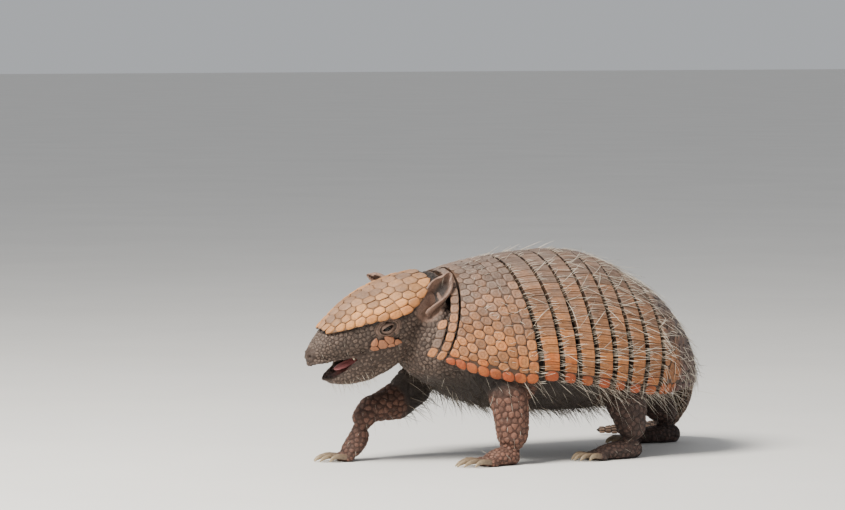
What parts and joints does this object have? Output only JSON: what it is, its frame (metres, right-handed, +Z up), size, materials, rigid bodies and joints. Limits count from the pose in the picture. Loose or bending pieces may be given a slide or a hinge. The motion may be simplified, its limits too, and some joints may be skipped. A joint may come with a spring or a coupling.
{
  "type": "six-banded armadillo, life-size still model",
  "caption": "Life-size walking armadillo with a plated head, jointed-looking banded shell, rolled ears, clawed feet and a tail on the floor.",
  "frame": {"origin": "middle of the animal's outline, on the floor", "axes": "+Z up, head towards -X, the animal's left side towards -Y"},
  "size_m": [0.4378, 0.2258, 0.1902],
  "materials": {
    "shell": "dusty horny scutes, tan to orange, satin",
    "head_scutes": "peach horny scutes with dark seams, satin",
    "skin": "wrinkled grey-brown skin, matt",
    "leg_skin": "pebbled reddish-brown skin, matt",
    "claw": "yellow-brown horn, satin",
    "eye": "wet black",
    "tongue": "moist pink",
    "hair": "long cream bristles"
  },
  "bodies": {
    "root": {"band_1": "shell", "band_2": "shell", "band_3": "shell", "band_4": "shell", "band_5": "shell", "band_6": "shell", "band_7": "shell", "claw_front_left_1": "claw", "claw_front_left_2": "claw", "claw_front_left_3": "claw", "claw_front_left_4": "claw", "claw_front_left_5": "claw", "claw_front_right_1": "claw", "claw_front_right_2": "claw", "claw_front_right_3": "claw", "claw_front_right_4": "claw", "claw_front_right_5": "claw", "claw_hind_left_1": "claw", "claw_hind_left_2": "claw", "claw_hind_left_3": "claw", "claw_hind_left_4": "claw", "claw_hind_left_5": "claw", "claw_hind_right_1": "claw", "claw_hind_right_2": "claw", "claw_hind_right_3": "claw", "claw_hind_right_4": "claw", "claw_hind_right_5": "claw", "ear_left": "skin", "ear_right": "skin", "eye_left": "eye", "eye_right": "eye", "foot_front_left": "leg_skin", "foot_front_right": "leg_skin", "foot_hind_left": "leg_skin", "foot_hind_right": "leg_skin", "head": "skin", "head_shield": "head_scutes", "leg_front_left": "leg_skin", "leg_front_right": "leg_skin", "leg_hind_left": "leg_skin", "leg_hind_right": "leg_skin", "lower_jaw": "skin", "neck": "skin", "nuchal_band": "shell", "nuchal_row_left": "shell", "nuchal_row_right": "shell", "pelvic_shield": "shell", "scapular_shield": "shell", "tail_1": "shell", "tail_2": "shell", "tail_3": "shell", "tongue": "tongue", "trunk": "skin"}
  },
  "joints": []
}
